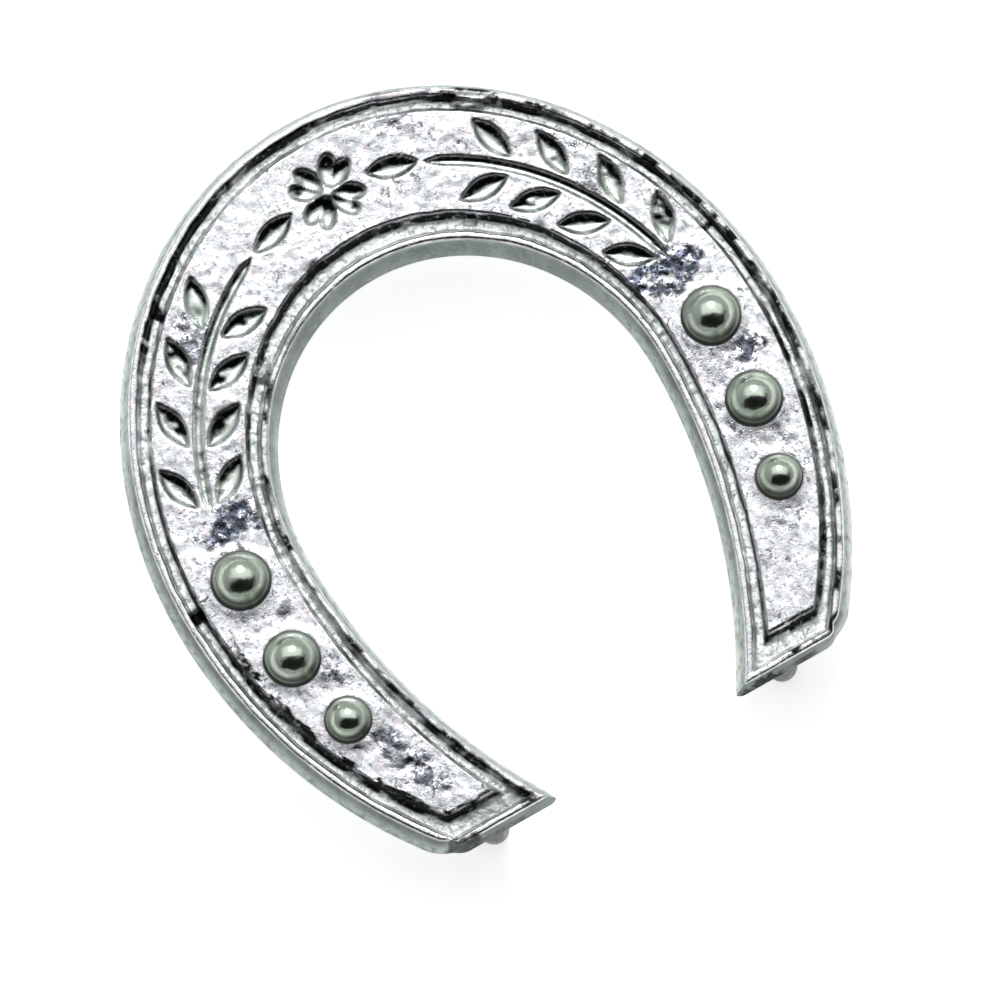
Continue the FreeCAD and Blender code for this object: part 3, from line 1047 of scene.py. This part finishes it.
def leaning(azimuth, elevation):
    """The direction at an elevation above the level one that points away from an azimuth."""
    flat = math.cos(elevation)
    return Vector((-math.sin(azimuth) * flat, math.cos(azimuth) * flat, math.sin(elevation)))


def make_camera():
    azimuth = math.radians(CAMERA_AZIMUTH)
    view = leaning(azimuth, math.radians(-CAMERA_ELEVATION))
    data = bpy.data.cameras.new("camera")
    data.sensor_width = SENSOR
    data.lens = SENSOR * CAMERA_DISTANCE / PICTURE_WIDTH
    data.clip_start, data.clip_end = CLIP
    camera = make_object("camera", data)
    camera.location = (Vector(CAMERA_LOOKS_AT) - view * CAMERA_DISTANCE) * MM
    camera.rotation_mode = "QUATERNION"
    camera.rotation_quaternion = view.to_track_quat("-Z", "Y")
    bpy.context.scene.camera = camera


def make_floor():
    line = np.linspace(-FLOOR_HALF, FLOOR_HALF, FLOOR_STEPS + 1)
    x, y = np.meshgrid(line, line, indexing="ij")
    points = np.stack([x, y, np.zeros_like(x)], axis=-1).reshape(-1, 3)
    mesh = mesh_from("floor", points, grid_faces(FLOOR_STEPS + 1, FLOOR_STEPS + 1), {})
    floor = make_object("floor", mesh)
    floor.data.materials.append(floor_white())


def make_tent():
    """The surroundings: a white tent, lighter on the far side, with a dark strip overhead, a
    bright panel beyond it and a narrow bright strip low on the near side."""
    world = bpy.data.worlds.new("studio")
    bpy.context.scene.world = world
    world.use_nodes = True
    tree = world.node_tree
    background = tree.nodes["Background"]
    coordinates = tree.nodes.new("ShaderNodeTexCoord")
    azimuth = math.radians(CAMERA_AZIMUTH)

    def towards(direction):
        node = tree.nodes.new("ShaderNodeVectorMath")
        node.operation = "DOT_PRODUCT"
        tree.links.new(coordinates.outputs["Generated"], node.inputs[0])
        node.inputs[1].default_value = direction
        return node.outputs["Value"]

    def stepped(value, *limits):
        node = tree.nodes.new("ShaderNodeMapRange")
        node.interpolation_type = "SMOOTHSTEP"
        tree.links.new(value, node.inputs["Value"])
        set_range(node, *limits)
        return node.outputs["Result"]

    def combine(operation, first, second=0.0):
        node = tree.nodes.new("ShaderNodeMath")
        node.operation = operation
        tree.links.new(first, node.inputs[0])
        if isinstance(second, float):
            node.inputs[1].default_value = second
        else:
            tree.links.new(second, node.inputs[1])
        return node.outputs[0]

    def beyond(tilt, soft, twist):
        """1 past a plane leaning from upright towards the far side by tilt degrees, 0 before it.
        Twist turns the plane about the upright line."""
        plane = leaning(azimuth - math.radians(twist), math.radians(-tilt))
        return stepped(towards(plane), -soft, soft, 0.0, 1.0)

    to_the_right = towards((math.cos(azimuth), math.sin(azimuth), 0.0))

    def between(first, last, width, inside, soft=0.07, soft_end=0.07,
                twist=0.0, shift=0.0, fade=0.4):
        """A strip of sky between two leaning planes, no wider than width either side."""
        start = beyond(first, soft, twist)
        end = stepped(beyond(last, soft_end, twist), 0.0, 1.0, 1.0, 0.0)
        aside = combine("ABSOLUTE", combine("SUBTRACT", to_the_right, shift))
        side = stepped(aside, width, width - fade, 0.0, inside)
        return combine("MULTIPLY", combine("MULTIPLY", start, end), side)

    to_far = towards(leaning(azimuth, 0.0))
    walls = stepped(to_far, -WALL_TURN, WALL_TURN, NEAR_WALL_LEVEL, FAR_WALL_LEVEL)
    dark = between(DARK_FROM, DARK_TO, DARK_WIDTH, 1.0,
                   twist=DARK_TWIST, shift=DARK_SHIFT, fade=DARK_FADE)
    opening = stepped(dark, 0.0, 1.0, 1.0, DARK_LEVEL)
    room = combine("MULTIPLY", walls, opening)
    panel = between(PANEL_FROM, PANEL_TO, PANEL_WIDTH, PANEL_LEVEL, soft_end=PANEL_SOFT_END)
    near = between(NEAR_FROM, NEAR_TO, NEAR_WIDTH, NEAR_LEVEL, NEAR_SOFT, NEAR_SOFT)
    level = combine("MAXIMUM", combine("MAXIMUM", room, panel), near)
    tree.links.new(level, background.inputs["Strength"])
    background.inputs["Color"].default_value = SKY


def make_key():
    """A soft light from high on the far side."""
    key = bpy.data.lights.new("key", "AREA")
    key.shape = "DISK"
    key.size = KEY_SIZE
    key.energy = KEY_POWER
    lamp = make_object("key", key)
    way = leaning(math.radians(CAMERA_AZIMUTH), math.radians(KEY_ELEVATION))
    lamp.location = way * KEY_DISTANCE
    lamp.rotation_mode = "QUATERNION"
    lamp.rotation_quaternion = way.to_track_quat("Z", "Y")


make_camera()
make_floor()
make_tent()
make_key()
shoe_plate()
studs()
pegs()

bpy.context.scene.view_settings.view_transform = "Standard"
